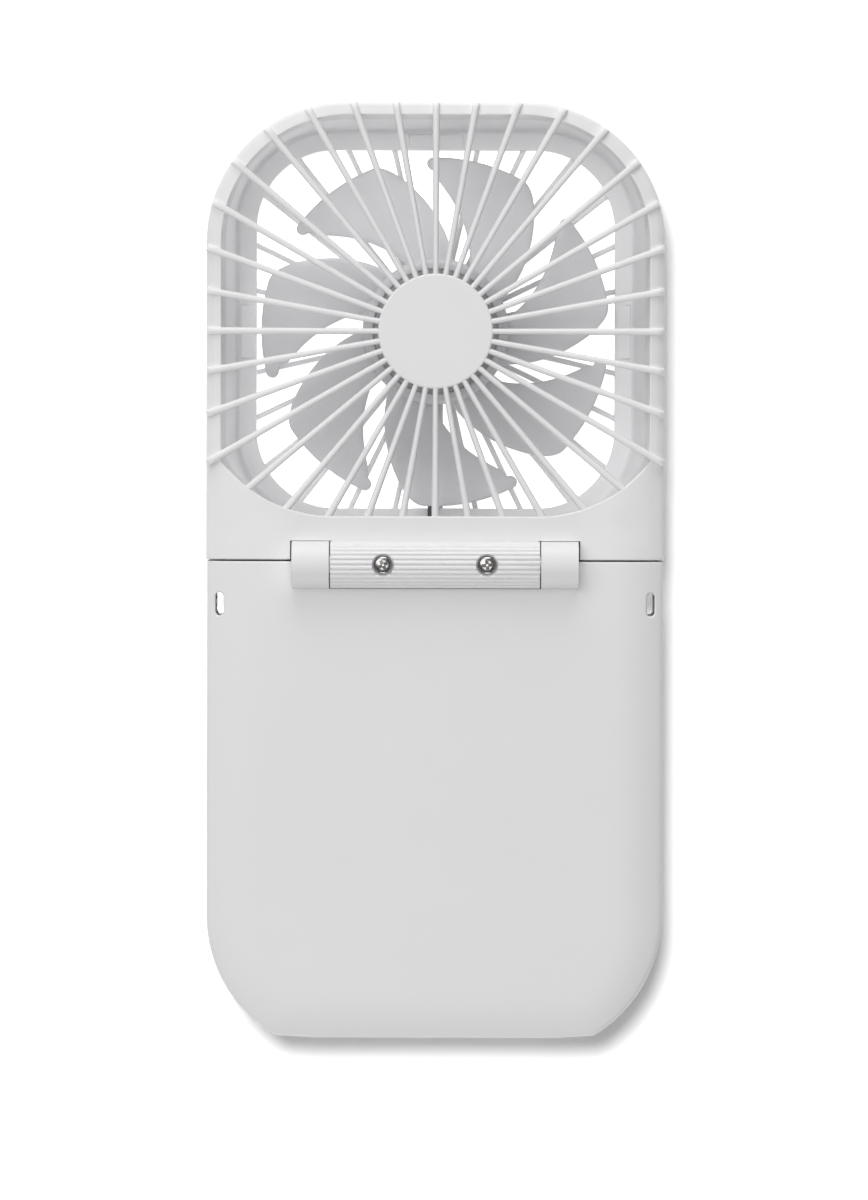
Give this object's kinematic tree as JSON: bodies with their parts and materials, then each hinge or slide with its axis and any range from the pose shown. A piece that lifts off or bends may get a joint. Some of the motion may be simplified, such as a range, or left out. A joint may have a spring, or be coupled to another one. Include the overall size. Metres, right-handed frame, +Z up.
{
  "type": "foldable desk fan",
  "caption": "Flat folding pocket fan: a battery base and a ribbed, round-cornered fan head joined by a ribbed friction hinge, folded out flat.",
  "frame": {"origin": "middle of the whole outline, on the desk under the rubber feet", "axes": "+X to the right seen from above with the head away from the reader, +Y from the base towards the head, +Z up, out of the face with the hinge barrel"},
  "size_m": [0.09, 0.1838, 0.029],
  "materials": {
    "white_abs": "fine satin, moulded",
    "impeller_pp": "satin, moulded",
    "plated_steel": "nickel plated",
    "brass": "turned",
    "enamelled_copper": "enamelled winding wire",
    "silicon_steel": "stamped laminations",
    "ferrite": "sintered",
    "solder_mask": "green solder mask",
    "moulded_epoxy": "moulded",
    "nylon": "natural nylon",
    "lamp_resin": "lamp resin",
    "clear_acrylic": "clear, polished",
    "pouch_foil": "laminated foil",
    "adhesive_foam": "foam tape",
    "silicone_rubber": "matt silicone",
    "lead_jacket": "black jacket"
  },
  "bodies": {
    "base": {"base_bottom_cover": "white_abs", "base_lead": "lead_jacket", "base_top_cover": "white_abs", "battery_cell": "pouch_foil", "battery_pad": "adhesive_foam", "board_screw_1": "plated_steel", "board_screw_2": "plated_steel", "case_screw_1": "plated_steel", "case_screw_2": "plated_steel", "case_screw_3": "plated_steel", "case_screw_4": "plated_steel", "control_chip": "moulded_epoxy", "foot_1": "silicone_rubber", "foot_2": "silicone_rubber", "foot_3": "silicone_rubber", "foot_4": "silicone_rubber", "friction_bush_left": "nylon", "friction_bush_right": "nylon", "inductor": "moulded_epoxy", "lamp_1": "lamp_resin", "lamp_2": "lamp_resin", "lamp_3": "lamp_resin", "lamp_4": "lamp_resin", "lead_connector": "nylon", "light_pipe": "clear_acrylic", "main_board": "solder_mask", "switch_body": "moulded_epoxy", "usb_c_port": "plated_steel"},
    "power_button": {"power_button": "white_abs", "switch_stem": "moulded_epoxy"},
    "head": {"grille_cover": "white_abs", "shroud": "white_abs", "rear_grille": "white_abs", "hinge_cover": "white_abs", "hinge_screw_left": "plated_steel", "hinge_screw_right": "plated_steel", "hinge_pin_left": "plated_steel", "hinge_pin_right": "plated_steel", "head_screw_left": "plated_steel", "head_screw_right": "plated_steel", "stator_core": "silicon_steel", "stator_coil_1": "enamelled_copper", "stator_coil_2": "enamelled_copper", "stator_coil_3": "enamelled_copper", "stator_coil_4": "enamelled_copper", "stator_coil_5": "enamelled_copper", "stator_coil_6": "enamelled_copper", "motor_board": "solder_mask", "lower_bearing": "plated_steel", "upper_bearing": "plated_steel", "bearing_spacer": "brass", "motor_lead": "lead_jacket"},
    "rotor": {"impeller": "impeller_pp", "rotor_yoke": "plated_steel", "magnet_ring": "ferrite", "motor_shaft": "plated_steel", "shaft_clip": "plated_steel"}
  },
  "joints": [
    {"name": "head_fold", "type": "hinge", "parent": "base", "child": "head", "pos_m": [0, 0.0011, 0.02435], "axis": [1, 0, 0], "range_deg": [0, 180]},
    {"name": "fan_spin", "type": "hinge", "parent": "head", "child": "rotor", "pos_m": [0, 0.0469, 0.0089], "axis": [0, 0, 1], "continuous": true},
    {"name": "button_press", "type": "slide", "parent": "base", "child": "power_button", "axis": [0, 1, 0], "range_m": [0, 0.0005], "stiffness_N_per_m": 800}
  ]
}
